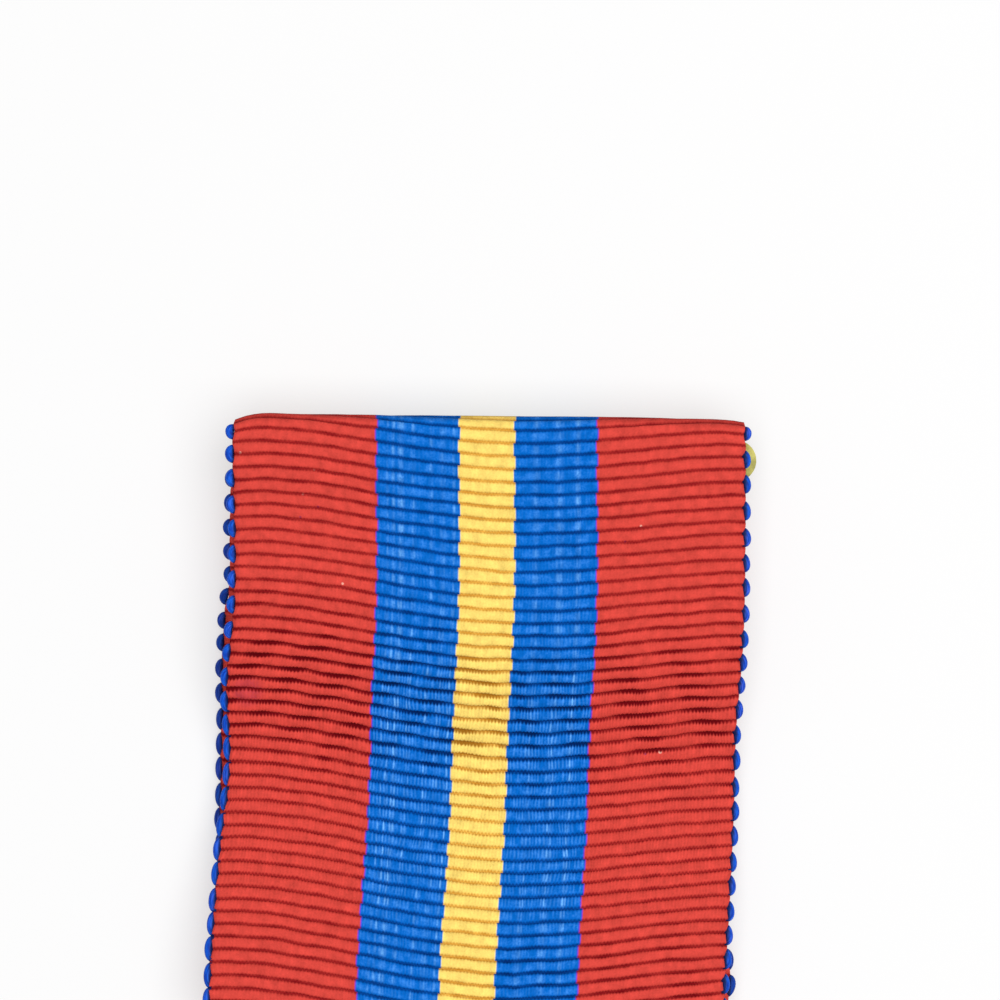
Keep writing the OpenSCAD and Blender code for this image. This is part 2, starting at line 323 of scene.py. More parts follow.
class Paint:
    """Short forms for building one procedural material."""

    def __init__(self, name, roughness, metallic=0.0, specular=0.5):
        self.material = bpy.data.materials.new(name)
        self.material.use_nodes = True
        self.tree = self.material.node_tree
        self.surface = self.tree.nodes["Principled BSDF"]
        self.surface.inputs["Roughness"].default_value = roughness
        self.surface.inputs["Metallic"].default_value = metallic
        self.surface.inputs["Specular IOR Level"].default_value = specular

    def put(self, value, socket):
        if isinstance(value, bpy.types.NodeSocket):
            self.tree.links.new(value, socket)
        else:
            socket.default_value = value

    def node(self, kind, **settings):
        made = self.tree.nodes.new("ShaderNode" + kind)
        for key, value in settings.items():
            setattr(made, key, value)
        return made

    def math(self, operation, *values, clamp=False):
        made = self.node("Math", operation=operation, use_clamp=clamp)
        for value, socket in zip(values, made.inputs):
            self.put(value, socket)
        return made.outputs[0]

    def add(self, a, b):
        return self.math("ADD", a, b)

    def times(self, a, b):
        return self.math("MULTIPLY", a, b)

    def less(self, a, b):
        return self.math("SUBTRACT", a, b)

    def around(self, value, amount):
        """A value from 0 to 1, turned into one around 0."""
        return self.times(self.less(value, 0.5), amount)

    def total(self, start, *shares):
        """A start, and each value times its share added to it."""
        for value, share in shares:
            start = self.math("MULTIPLY_ADD", value, share, start)
        return start

    def step(self, value, start, end, low=0.0, high=1.0):
        """Smooth change from low to high as the value goes from start to end."""
        made = self.node("MapRange", interpolation_type="SMOOTHSTEP")
        for item, socket in zip((value, start, end, low, high), made.inputs):
            self.put(item, socket)
        return made.outputs[0]

    def mix(self, factor, a, b, blend="MIX"):
        made = self.node("Mix", data_type="RGBA", blend_type=blend)
        self.put(factor, made.inputs[0])
        self.put(a, made.inputs[6])
        self.put(b, made.inputs[7])
        return made.outputs[2]

    def vector(self, x, y, z=0.0):
        made = self.node("CombineXYZ")
        for value, socket in zip((x, y, z), made.inputs):
            self.put(value, socket)
        return made.outputs[0]

    def split(self, vector):
        made = self.node("SeparateXYZ")
        self.put(vector, made.inputs[0])
        return made.outputs[0], made.outputs[1], made.outputs[2]

    def attribute(self, name):
        return self.node("Attribute", attribute_name=name).outputs["Vector"]

    def position(self):
        return self.node("TexCoord").outputs["Object"]

    def noise(self, vector, scale=1.0, detail=2.0, rough=0.5):
        made = self.node("TexNoise")
        self.put(vector, made.inputs["Vector"])
        made.inputs["Scale"].default_value = scale
        made.inputs["Detail"].default_value = detail
        made.inputs["Roughness"].default_value = rough
        return made.outputs["Fac"]

    def random(self, vector):
        made = self.node("TexWhiteNoise", noise_dimensions="3D")
        self.put(vector, made.inputs["Vector"])
        return made.outputs["Value"]

    def ramp(self, value, stops):
        """Grey level from stops of (place from 0 to 1, level)."""
        made = self.node("ValToRGB")
        self.put(value, made.inputs[0])
        elements = made.color_ramp.elements
        while len(elements) < len(stops):
            elements.new(0.5)
        for element, (at, grey) in zip(elements, stops):
            element.position = at
            element.color = (grey, grey, grey, 1)
        return made.outputs["Color"]

    def bump(self, height, distance_mm, strength):
        made = self.node("Bump")
        made.inputs["Strength"].default_value = strength
        made.inputs["Distance"].default_value = distance_mm * MM
        self.put(height, made.inputs["Height"])
        return made.outputs["Normal"]

    def finish(self, color, normal=None, roughness=None):
        self.put(color, self.surface.inputs["Base Color"])
        if normal is not None:
            self.put(normal, self.surface.inputs["Normal"])
        if roughness is not None:
            self.put(roughness, self.surface.inputs["Roughness"])
        return self.material


# Materials, in colours as they are seen in the photo, less what this scene's light adds

EXPOSURE = 0.96
# Each stripe colour's darker copy below is painted shade, for the grooves and the top fold
RED = srgb(209, 69, 60, EXPOSURE)
RED_SHADED = srgb(130, 9, 21, EXPOSURE)
BLUE = srgb(0, 103, 201, EXPOSURE)
BLUE_SHADED = srgb(0, 44, 112, EXPOSURE)
BLUE_PALE = srgb(106, 172, 238, EXPOSURE)
YELLOW = srgb(248, 214, 112, EXPOSURE)
YELLOW_SHADED = srgb(198, 136, 40, EXPOSURE)
VIOLET = srgb(72, 60, 232, EXPOSURE)
CREAM = srgb(255, 240, 190, EXPOSURE)
LINT = srgb(252, 196, 176, EXPOSURE)
SMUDGE = srgb(84, 30, 96, EXPOSURE)
# Black, mixed in as painted shade on the turn of the top fold
SHADE_BLACK = (0, 0, 0, 1)
# Of the yarn colours, the violet one is a painted highlight, and the two darkest are painted shade, for the
# back layer's loops and the loops' roots
YARN = srgb(14, 100, 228, EXPOSURE)
YARN_DEEP = srgb(0, 52, 168, EXPOSURE)
YARN_HIGHLIGHT = srgb(112, 92, 226)
YARN_BACK_SHADE = srgb(8, 18, 84)
YARN_ROOT_SHADE = srgb(12, 14, 44)

# Specks of lint and small smudges on the front: place in millimetres, radius, strength and colour
MARKS = [
    (-18.6, 83.2, 0.13, 0.9, LINT),
    (-13.15, 82.2, 0.1, 0.5, LINT),
    (-13.9, 80.4, 0.13, 0.5, LINT),
    (10.85, 79.2, 0.13, 0.7, LINT),
    (-10.7, 74.0, 0.13, 0.7, LINT),
    (13.1, 62.7, 0.17, 1.0, LINT),
    (-12.75, 79.5, 0.14, 0.6, SMUDGE),
    (9.75, 78.0, 0.12, 0.6, SMUDGE),
    (12.0, 62.5, 0.14, 0.6, SMUDGE),
    (-14.0, 78.7, 0.13, 0.5, SMUDGE),
    (-17.4, 65.8, 1.5, 0.2, SMUDGE),
]

# Pale threads in the blue stripes: place across, half width, strength on even and on odd ribs
PALE_THREADS = [
    (-7.42, 0.12, 0.45, 0.3),
    (-7.0, 0.18, 0.75, 0.25),
    (-6.45, 0.3, 0.9, 0.35),
    (-5.57, 0.2, 0.5, 0.15),
    (-4.25, 0.2, 0.15, 0.5),
    (-3.4, 0.3, 0.35, 0.2),
    (-2.6, 0.14, 0.65, 0.45),
    (3.4, 0.35, 0.2, 0.4),
    (5.1, 0.4, 0.3, 0.55),
    (6.45, 0.25, 0.45, 0.85),
]

# Noise in the metals, by how often it turns in a metre: tarnish, grain, pits, and spots in the recesses
TARNISH = 320
GRAIN = 1 / (0.35 * MM)
PITS = 1500
SPOTS = 900


def stripe_color(paint, offset, red, blue, yellow):
    """The three colours by distance from the middle of the stripes."""
    soft = 0.04
    inner = paint.step(offset, BLUE_HALF + soft, BLUE_HALF - soft)
    middle = paint.step(offset, YELLOW_HALF + soft, YELLOW_HALF - soft)
    return paint.mix(middle, paint.mix(inner, red, blue), yellow)


def pale_ramp(paint, across, on_odd):
    """Where the pale threads lie, on the even or the odd ribs."""
    stops = [(0.0, 0.0)]
    for x, half, even_strength, odd_strength in PALE_THREADS:
        strength = odd_strength if on_odd else even_strength
        for side, share in ((-1, 0), (0, 1), (1, 0)):
            stops.append(((x + side * half + BLUE_HALF) / (2 * BLUE_HALF), share * strength))
    return paint.ramp(paint.math("DIVIDE", paint.add(across, BLUE_HALF), 2 * BLUE_HALF), stops)


def cloth_material():
    paint = Paint("ribbon_cloth", roughness=0.75, specular=0.04)
    across, ribs, opened = paint.split(paint.attribute("cloth"))
    # The second channel is painted shade on the turn of the top fold
    clear, fold_shade, _ = paint.split(paint.attribute("weave_and_fold_shade"))
    rib = paint.math("FLOOR", ribs)
    part = paint.less(ribs, rib)
    odd = paint.math("FLOORED_MODULO", rib, 2.0)

    def clouds(per_mm, per_rib, seed=0.0, detail=3, rough=0.5, down=ribs):
        """Noise over the cloth, by how fast it changes across it and down it."""
        at = paint.vector(paint.times(across, per_mm), paint.times(down, per_rib), seed)
        return paint.noise(at, detail=detail, rough=rough)

    # Threads, which drift a little sideways, and the slow and fine changes of their tone
    drift = clouds(0.5, 0.25, 4.0, detail=2)
    thread = paint.add(paint.math("DIVIDE", across, THREAD), paint.times(drift, 3.0))
    wave = paint.math("SINE", paint.times(thread, 2 * math.pi))
    clear_wave = paint.times(wave, clear)
    each = paint.random(paint.vector(paint.math("FLOOR", paint.add(thread, 0.25)), rib))
    streak = clouds(2.6, 0.55, rib)
    slow = clouds(0.45, 0.35)
    blotch = clouds(1.5, 1.2, 7.0, detail=4)
    fine = clouds(7.0, 6.0, 2.0, rough=0.6)

    # Stripes, whose edges step sideways from one rib to the next
    stepped = paint.add(across, paint.around(odd, 0.14))
    jitter = paint.around(streak, 0.08)
    offset = paint.math("ABSOLUTE", paint.add(stepped, paint.add(jitter, -STRIPE_X)))
    light = stripe_color(paint, offset, RED, BLUE, YELLOW)
    # Shaded copies of the stripe colours: painted shade for the grooves and the top fold
    shaded_color = stripe_color(paint, offset, RED_SHADED, BLUE_SHADED, YELLOW_SHADED)

    # Grooves, a zigzag between the ends of the threads, wider where the cloth bends: the mask of the
    # painted shade in them
    tooth = paint.times(paint.times(wave, paint.add(clear, 0.4)), 0.038)
    middle = paint.math("FLOORED_MODULO", paint.add(part, tooth), 1.0)
    groove = paint.times(paint.math("MINIMUM", middle, paint.less(1.0, middle)), RIB_PITCH)
    patch = clouds(0.9, 0.75, down=rib)
    width = paint.add(paint.total(0.11, (opened, 0.07)), paint.around(patch, 0.14))
    dark = paint.step(groove, paint.add(width, 0.1), paint.less(width, 0.11))
    strength = paint.total(0.55, (patch, 0.5), (opened, 0.3))

    # Pale threads in the blue, soft patches where the cloth is even and single threads where they show
    pale = paint.mix(odd, pale_ramp(paint, across, False), pale_ramp(paint, across, True))
    strand = paint.step(wave, -0.6, 0.9)
    soft = paint.step(paint.total(streak, (fine, 0.3)), 0.38, 0.82)
    single = paint.times(strand, paint.step(paint.total(each, (streak, 0.6)), 0.32, 1.05))
    clear_single = paint.times(single, clear)
    spread = paint.total(clear_single, (soft, paint.total(1.0, (clear, -0.5))))
    rib_top = paint.step(groove, 0.1, 0.33, 0.15, 1.0)
    in_blue = paint.times(paint.step(offset, YELLOW_HALF, YELLOW_HALF + 0.08),
                          paint.step(offset, BLUE_HALF, BLUE_HALF - 0.08))
    cloudy = paint.step(paint.total(blotch, (fine, 0.5)), 0.68, 1.0)
    faint = paint.total(0.0, (cloudy, 0.16), (clear_single, 0.2))
    pale = paint.times(paint.total(faint, (pale, spread)), paint.times(rib_top, in_blue))
    light = paint.mix(paint.math("MINIMUM", pale, 0.9), light, BLUE_PALE)

    # Thin lines where two stripes meet
    for edge, wide, strong, line_color in ((BLUE_HALF, 0.1, 0.6, VIOLET), (YELLOW_HALF, 0.07, 0.35, CREAM)):
        from_edge = paint.math("ABSOLUTE", paint.less(offset, edge))
        light = paint.mix(paint.step(from_edge, wide, 0.02, 0.0, strong), light, line_color)

    # Tone of the threads, around 1: random, with a faint painted highlight and shade across each thread
    # where the threads show clearly
    tone = paint.total(0.25, (each, 0.05), (streak, 0.12), (slow, 0.2), (blotch, 0.7), (fine, 0.45),
                       (clear_wave, 0.05))
    light = paint.mix(1.0, light, paint.vector(tone, tone, tone), "MULTIPLY")

    # Lint and smudges
    at_x, at_y, _ = paint.split(paint.position())
    at = paint.vector(at_x, at_y)
    for x, y, radius, amount, mark_color in MARKS:
        away = paint.node("VectorMath", operation="DISTANCE")
        paint.put(at, away.inputs[0])
        paint.put((x * MM, y * MM, 0.0), away.inputs[1])
        seen = paint.step(away.outputs["Value"], radius * MM, 0.4 * radius * MM, 0.0, amount)
        light = paint.mix(paint.times(seen, paint.step(fine, 0.3, 0.55)), light, mark_color)

    # Painted shade in the grooves, darker where they stand open, and on the turn of the top fold
    shade = paint.total(1.0, (opened, -0.33))
    shaded_color = paint.mix(1.0, shaded_color, paint.vector(shade, shade, shade), "MULTIPLY")
    color = paint.mix(paint.math("MULTIPLY", dark, strength, clamp=True), light, shaded_color)
    color = paint.mix(fold_shade, color, paint.mix(0.5, shaded_color, SHADE_BLACK))

    # Threads in relief, and a little fuzz
    fuzz = clouds(9.0, 8.0, detail=4, rough=0.65)
    relief = paint.total(0.0, (clear_wave, 0.7), (fuzz, 0.9))
    return paint.finish(color, paint.bump(relief, 0.016, 0.7))


def yarn_material():
    """Blue thread of the loops along the edges, twisted."""
    paint = Paint("edge_yarn", roughness=0.6, specular=0.15)
    around, along, shade = paint.split(paint.attribute("yarn"))
    root, back, _ = paint.split(paint.attribute("root"))
    fibres = paint.noise(paint.vector(paint.times(around, 4.0), paint.times(along, 0.9), shade), detail=3)
    color = paint.mix(paint.step(fibres, 0.3, 0.7), YARN_DEEP, YARN)
    # Painted violet highlight on some loops, in patches along the fibres
    painted_highlight = paint.times(paint.step(shade, 0.4, 1.0, 0.0, 0.45), paint.step(fibres, 0.45, 0.7))
    color = paint.mix(painted_highlight, color, YARN_HIGHLIGHT)
    # Painted shade on the back layer's loops, and at the roots where each loop goes under the cloth's edge
    color = paint.mix(paint.times(back, 0.5), color, YARN_BACK_SHADE)
    color = paint.mix(paint.times(root, 0.92), color, YARN_ROOT_SHADE)
    return paint.finish(color, paint.bump(fibres, 0.03, 0.6))


def metal_material(name, bright, dull, dark, roughness, recess=None):
    """Aged metal: bright where it is rubbed, dull in clouds, dark in its recesses."""
    paint = Paint(name, roughness=roughness, metallic=1.0)
    at = paint.position()
    cloud = paint.noise(at, TARNISH, detail=5, rough=0.6)
    grain = paint.noise(at, GRAIN, detail=4, rough=0.6)
    pits = paint.noise(at, PITS, detail=3)
    color = paint.mix(paint.step(cloud, 0.38, 0.66), bright, dull)
    color = paint.mix(paint.step(pits, 0.62, 0.74, 0.0, 0.45), color, dark)
    rough = paint.total(roughness - 0.12, (cloud, 0.24))
    if recess is not None:
        low = recess(paint, at)
        color = paint.mix(low, color, dark)
        rough = paint.total(rough, (low, 0.2))
    relief = paint.total(0.0, (grain, 0.7), (pits, 0.3))
    return paint.finish(color, paint.bump(relief, 0.03, 0.6), rough)


def pendant_recess(paint, at):
    """Dark in the field, and darkest along the foot of the rim, the thin line and the star."""
    spots = paint.step(paint.noise(at, SPOTS, detail=5), 0.3, 0.7, 0.54, 0.74)
    return paint.times(paint.split(paint.attribute("relief"))[0], spots)


# Ribbon: one closed strip, swept along its path

def groove_profile(part):
    """Depth of a rib's outer face: flat-topped, with a narrow groove at each end."""
    from_groove = np.minimum(part, 1 - part)
    return GROOVE_DEPTH * (1 - ease(from_groove / GROOVE_SHARE)) + RIB_CROWN * (1 - from_groove / 0.5) ** 2


# Rows of points along each rib, and columns round the strip by place across: face, sides and inside
RIB_PARTS = np.array([0, 0.07, 0.15, 0.36, 0.64, 0.85, 0.93])
FACE_U = np.concatenate([[-1, -0.985, -0.96], np.linspace(-0.93, 0.93, 60), [0.96, 0.985, 1]])
INSIDE_U = np.linspace(0.985, -0.985, 22)
SIDE_OUT = 0.07
SIDE_U = 1 + SIDE_OUT / (CLOTH_W / 2)

# Loops of blue thread along both edges, one for every two ribs, from the rib that "phase" gives in the
# front layer and "back_phase" in the back one. They stand out and reach along the edge by "top" at the
# top fold and by "low" further down. "skew" makes them fullest at their lower end, "lift" moves the
# topmost up, and "dark" is how far out from the cloth's edge the painted shade at their roots reaches.
LEFT_LOOPS = {"side": -1, "phase": 0.0, "back_phase": 0.25, "top": (0.45, 0.5), "low": (0.33, 0.8),
              "skew": 0.0, "lift": 0.0, "dark": 0.1}
RIGHT_LOOPS = {"side": 1, "phase": 1.18, "back_phase": 1.24, "top": (0.33, 0.54), "low": (0.33, 0.65),
               "skew": 0.35, "lift": 0.55, "dark": 0.15}
YARN_R = 0.28
YARN_IN = 0.1
YARN_RINGS = 13
YARN_SIDES = 12
ALONG_LOOP = np.linspace(0, np.pi, YARN_RINGS)
ROUND_YARN = 2 * np.pi * np.arange(YARN_SIDES) / YARN_SIDES


def drawn_in(rib, across, s, on_front):
    """How far the cloth's edges are drawn in where the loops of thread go round them."""
    left, right = (np.where(on_front, edge["phase"], edge["back_phase"])
                   for edge in (LEFT_LOOPS, RIGHT_LOOPS))
    turn = np.pi * (rib - np.where(across < 0, left, right))
    flat = ease(s / 1.5) * (1 - ease((s - STRAIGHT_L) / 4))
    return (0.07 * np.cos(turn) - 0.01) * ease((np.abs(across) - 0.9) / 0.1) * flat


def open_places(x_mm, y_mm, rib):
    """How far the grooves stand open, and how far the open places push the ribs up or down."""
    gap_turn = gap_rows(x_mm, np.round(rib))
    s_even = place(y_mm)[0]
    low_left = ease((4 - x_mm) / 10) * ease((s_even - 34) / 3)
    band = level(OPENED, s_even) * (1 - 0.7 * low_left)
    uneven = 0.8 + 0.6 * smooth_noise(x_mm, y_mm, 2.6, 43.0)
    least = 0.24 + 0.24 * ease((-x_mm - 7) / 4)
    opened = band * (least + 0.72 * ease(0.5 + 0.6 * np.cos(gap_turn)) * uneven)
    return opened, 0.05 * band * np.sin(gap_turn)


def strip_depth(groove, opened):
    """Depth of each column below the outer face: face, right side, inside and left side."""
    rounding = 0.05 * ease((np.abs(FACE_U) - 0.95) / 0.05)
    face = groove * (1 + 0.8 * opened[:, :len(FACE_U)]) + rounding
    upper_side = 0.3 * CLOTH_T + 0.4 * groove
    lower_side = np.full_like(groove, 0.75 * CLOTH_T)
    inside = np.repeat(CLOTH_T - 0.5 * groove, len(INSIDE_U), 1)
    return np.concatenate([face, upper_side, lower_side, inside, lower_side, upper_side], 1)


def ribbon():
    # The first and the last rib meet under the neck
    first_rib = 4 - RIBS // 2
    rows = (first_rib + np.arange(RIBS)[:, None] + RIB_PARTS[None, :]).ravel()
    groove = groove_profile(np.tile(RIB_PARTS, RIBS))[:, None]
    columns = np.concatenate([FACE_U, [SIDE_U, SIDE_U], INSIDE_U, [-SIDE_U, -SIDE_U]])
    rib, across = np.meshgrid(rows, columns, indexing="ij")

    # Ribs waver a little, each like its neighbours
    x_mm = across * CLOTH_W / 2
    y_mm = rib * RIB_PITCH
    opened, pushed = open_places(x_mm, y_mm, rib)
    waver = noise_sum(x_mm, y_mm, RIB_WAVER) + 0.07 * smooth_noise(x_mm, y_mm * 0.7, 1.9, 8.0) + pushed
    points, s, on_front = cloth_point(rib + waver, across, strip_depth(groove, opened))
    wrinkle = 0.07 * smooth_noise(x_mm, points[..., 1], 5.5, 21.0) * (1 - ease((s - STRAIGHT_L) / 4))
    points[..., 2] += wrinkle * on_front
    points[..., 0] -= np.sign(across) * drawn_in(rib, across, s, on_front)

    faces = grid_faces(len(rows), len(columns), True, True)
    ribbon_piece = add_mesh("ribbon_cloth", points.reshape(-1, 3), faces, cloth_material())
    x_cloth = np.clip(across, -1, 1) * half_width(s)
    add_vectors(ribbon_piece, "cloth", np.stack([x_cloth, rib, opened], -1))
    # Painted shade on the turn of the top fold, darkest along its outermost line
    fold_shade = 0.35 * (1 - ease((s - 0.4) / 0.6)) + 0.3 * (1 - ease((s - 0.33) / 0.07))
    add_vectors(ribbon_piece, "weave_and_fold_shade", np.stack([level(CLEAR_THREADS, s), fold_shade, 0 * s], -1))
    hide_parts("ribbon")
    return ribbon_piece


def unit(vectors):
    return vectors / np.linalg.norm(vectors, axis=-1, keepdims=True)


def yarn_tube(line, face_side):
    """Rings of points round a loop's line, thickest in its middle."""
    ahead = unit(np.gradient(line, axis=0))
    across = unit(np.cross(ahead, face_side))
    normal = np.cross(across, ahead)
    thick = YARN_R * (0.82 + 0.34 * np.sin(ALONG_LOOP))[:, None, None]
    rings = (np.cos(ROUND_YARN)[None, :, None] * across[:, None]
             + 1.1 * np.sin(ROUND_YARN)[None, :, None] * normal[:, None])
    return line[:, None] + thick * rings


def edge_loops():
    draw = random.Random(11)
    points, faces, yarn, root_shades = [], [], [], []
    for edge in (LEFT_LOOPS, RIGHT_LOOPS):
        side = edge["side"]
        bulge = np.sin(ALONG_LOOP * (ALONG_LOOP / np.pi) ** edge["skew"]) ** 0.75
        for k in range(RIBS // 2):
            on_back = 4 * k >= RIBS
            middle = 2 * k + edge["back_phase" if on_back else "phase"]
            s_middle = cloth_point(middle, side, 0)[1]
            low = ease((s_middle - 16) / 12)
            out, reach = np.array(edge["top"]) * (1 - low) + np.array(edge["low"]) * low
            middle += draw.uniform(-0.07, 0.07) - edge["lift"] * (1 - ease(s_middle / 4))
            rib = middle - reach * np.cos(ALONG_LOOP)
            out *= draw.uniform(0.88, 1.08)
            depth = 0.45 * CLOTH_T + draw.uniform(-0.05, 0.05)
            shade = draw.uniform(0, 1)
            base, s, _ = cloth_point(rib, side, depth)

            # None lie on the turn of the top fold or below the straight edges
            first_s = 2.6 if on_back else 0.5
            if s.min() < first_s or s.max() > STRAIGHT_L - 0.4:
                continue

            line = base + side * (out * bulge - YARN_IN)[:, None] * np.array([1, 0, 0])
            tube = yarn_tube(line, cloth_point(rib, side, depth - 1)[0] - base)
            faces += tube_faces(YARN_RINGS, YARN_SIDES, len(points) * YARN_RINGS * YARN_SIDES)
            points.append(tube.reshape(-1, 3))
            around, along = np.meshgrid(ROUND_YARN, ALONG_LOOP + 4 * k)
            yarn.append(np.stack([around, along, np.full_like(along, shade)], -1).reshape(-1, 3))
            # Painted shade at the roots near the cloth's edge, and a mark for the back layer's loops, which
            # get painted shade too
            root = 1 - ease((side * (tube[..., 0] - base[:, None, 0]) - edge["dark"]) / 0.14)
            root_shades.append(np.stack([root, np.full_like(root, on_back), 0 * root], -1).reshape(-1, 3))
    loops = add_mesh("edge_loops", np.concatenate(points), faces, yarn_material())
    add_vectors(loops, "yarn", np.concatenate(yarn))
    add_vectors(loops, "root", np.concatenate(root_shades))
    return loops


# Pendant: rim, thin line and star in low relief, plain back, and a lug that is drilled for the ring

disc_low, disc_high = box_mm("medal_disc")
DISC_R = (disc_high[0] - disc_low[0]) / 2
DISC_T = 2.6
RIM_W = 1.3
FIELD_Z = DISC_T - 0.5
EDGE_R = 0.35
LINE_R = DISC_R - RIM_W - 1.2
LINE_W = 0.5
LINE_H = 0.2
STAR_R = 8.2
STAR_WAIST = 0.4
STAR_H = 0.8
STAR_POINTS = 5
LUG_Y = DISC_R + 1.6
LUG_Z = 2.0
LUG_R = 1.9
LUG_L = 3.0
LUG_HOLE_R = 1.1
WEB_W = 5.5
WEB_LOW = 0.4
WEB_HIGH = 2.0

# Points of the disc's mesh: spokes, and rings as shares of the way from the middle to the star's outline,
# from there to the thin line, and over the back
SPOKES = 360
STAR_RINGS = (0.012, 0.04, 0.1, 0.2, 0.32, 0.45, 0.58, 0.7, 0.82, 0.92, 0.98, 1.0)
FIELD_RINGS = (0.02, 0.06, 0.13, 0.22, 0.32, 0.43, 0.55, 0.67, 0.78, 0.88, 0.95)
BACK_RINGS = (0.93, 0.85, 0.7, 0.5, 0.3, 0.12)
# Inner slope of the rim: distance out from its foot, height above the field, and darkness
RIM_SLOPE = [(0.02, 0.03, 1.0), (0.12, 0.16, 0.8), (0.22, 0.34, 0.4), (0.3, 0.45, 0.1), (0.42, 0.495, 0.0)]
BACK_DARK = 0.45
# Amount, size and seed of the unevenness of the cast field and star
CAST = [(0.022, 1.6, 5.0), (0.03, 4.5, 9.0)]


def star_outline(angle):
    """Radius of the star's outline at an angle."""
    half_point = np.pi / STAR_POINTS
    turn = np.mod(angle - np.pi / 2, 2 * half_point)
    turn = np.minimum(turn, 2 * half_point - turn)
    waist = STAR_R * STAR_WAIST
    return STAR_R * waist * np.sin(half_point) / (STAR_R * np.sin(turn) + waist * np.sin(half_point - turn))


def arc(middle, radius, start, end, steps=5):
    """Points of a round corner in a profile, angles in degrees."""
    angle = np.radians(np.linspace(start, end, steps))
    return [(middle[0] + radius * math.cos(a), middle[1] + radius * math.sin(a)) for a in angle]


def disc_profile():
    """Radius, height and darkness from the thin line over the rim and down to the back."""
    rim_in = DISC_R - RIM_W
    rows = []
    for part in np.linspace(0, 1, 9):
        rise = math.sin(math.pi * part) ** 0.7
        rows.append((LINE_R + LINE_W * part, FIELD_Z + LINE_H * rise, 1 - 0.9 * rise))
    rows += [(r, FIELD_Z, 1.0) for r in np.linspace(LINE_R + LINE_W + 0.1, rim_in - 0.06, 4)]
    rows += [(rim_in + out, FIELD_Z + up, dark) for out, up, dark in RIM_SLOPE]
    rows += [(r, z, 0.0) for r, z in arc((DISC_R - EDGE_R, DISC_T - EDGE_R), EDGE_R, 90, 0, 7)]
    rows += [(DISC_R, z, 0.3) for z in np.linspace(DISC_T - EDGE_R - 0.2, EDGE_R + 0.2, 5)]
    rows += [(r, z, 0.15) for r, z in arc((DISC_R - EDGE_R, EDGE_R), EDGE_R, 0, -90, 7)]
    rows += [(DISC_R * part, 0.0, BACK_DARK) for part in BACK_RINGS]
    return rows


def disc_mesh():
    """Points, faces and darkness of the disc, its star's ridges along the spokes of the mesh."""
    angle = 2 * np.pi * np.arange(SPOKES) / SPOKES + np.pi / 2
    star = star_outline(angle)
    rows = []
    for part in STAR_RINGS:
        rows.append((star * part, FIELD_Z + STAR_H * (1 - part), 0.7 * part**8))
    for part in FIELD_RINGS:
        near = max(1 - part / 0.1, (part - 0.9) / 0.1, 0)
        rows.append((star + (LINE_R - star) * part, FIELD_Z, 0.6 + 0.35 * near))
    rows += [(np.full(SPOKES, r), z, dark) for r, z, dark in disc_profile()]
    radius = np.stack([r for r, _, _ in rows])
    height = np.repeat([[z] for _, z, _ in rows], SPOKES, 1)
    dark = np.repeat([[d] for _, _, d in rows], SPOKES, 1)
    x, y = radius * np.cos(angle), radius * np.sin(angle)
    on_field = (height > FIELD_Z - 0.01) * (radius < DISC_R - RIM_W)
    height = height + noise_sum(x, y, CAST) * on_field
    points = np.stack([x, y, height], -1).reshape(-1, 3)
    faces = grid_faces(len(rows), SPOKES, False, True)

    # The star's tip and the middle of the back close the mesh
    top, bottom, last = len(points), len(points) + 1, len(points) - SPOKES
    points = np.concatenate([points, [[0, 0, FIELD_Z + STAR_H * 1.01], [0, 0, 0]]])
    faces += [[top, k, (k + 1) % SPOKES] for k in range(SPOKES)]
    faces += [[bottom, last + (k + 1) % SPOKES, last + k] for k in range(SPOKES)]
    return points, faces, np.append(dark.ravel(), [0, BACK_DARK])


def barrel_mesh():
    """The lug's barrel: a short tube across the medal with rounded ends."""
    sides = 48
    half = LUG_L / 2
    out_r, in_r = 0.35, 0.25
    profile = arc((LUG_R - out_r, half - out_r), out_r, 0, 90)
    profile += arc((LUG_HOLE_R + in_r, half - in_r), in_r, 90, 180)
    profile += [(r, -h) for r, h in profile[::-1]]
    turn = 2 * np.pi * np.arange(sides) / sides
    radius = np.array([r for r, _ in profile])[:, None]
    x = np.repeat([[h] for _, h in profile], sides, 1)
    points = np.stack([x, LUG_Y + radius * np.cos(turn), LUG_Z + radius * np.sin(turn)], -1)
    dark = np.repeat(np.where(radius < LUG_HOLE_R + in_r, 0.8, 0.15), sides, 1)
    return points.reshape(-1, 3), grid_faces(len(profile), sides, True, True), dark.ravel()


def web_mesh():
    """The web between the disc's edge and the barrel, with rounded edges."""
    soft = 0.3
    sections, sides = 12, 28
    corner = np.array(arc((1 - soft, 1 - soft), soft, 0, 90, sides // 4))
    ring = np.concatenate([corner, corner[::-1] * [-1, 1], corner * -1, corner[::-1] * [1, -1]])

    # It starts inside the rim and ends inside the barrel's wall, which curves away at its foot
    thick = WEB_HIGH - WEB_LOW
    z = (WEB_LOW + WEB_HIGH) / 2 + ring[:, 1] * thick / 2
    start_y = DISC_R - RIM_W + 0.5
    end_y = LUG_Y - 1.45 + (WEB_HIGH - z) / thick * 0.7
    end_half = LUG_L / 2 - 0.1
    points, dark = [], []
    for part in np.linspace(0, 1, sections):
        half = WEB_W / 2 + (end_half - WEB_W / 2) * ease(part)
        points.append(np.stack([ring[:, 0] * half, start_y + (end_y - start_y) * part, z], -1))
        dark.append(np.full(len(ring), 0.25 + 0.4 * abs(2 * part - 1)))
    return np.concatenate(points), tube_faces(sections, sides), np.concatenate(dark)


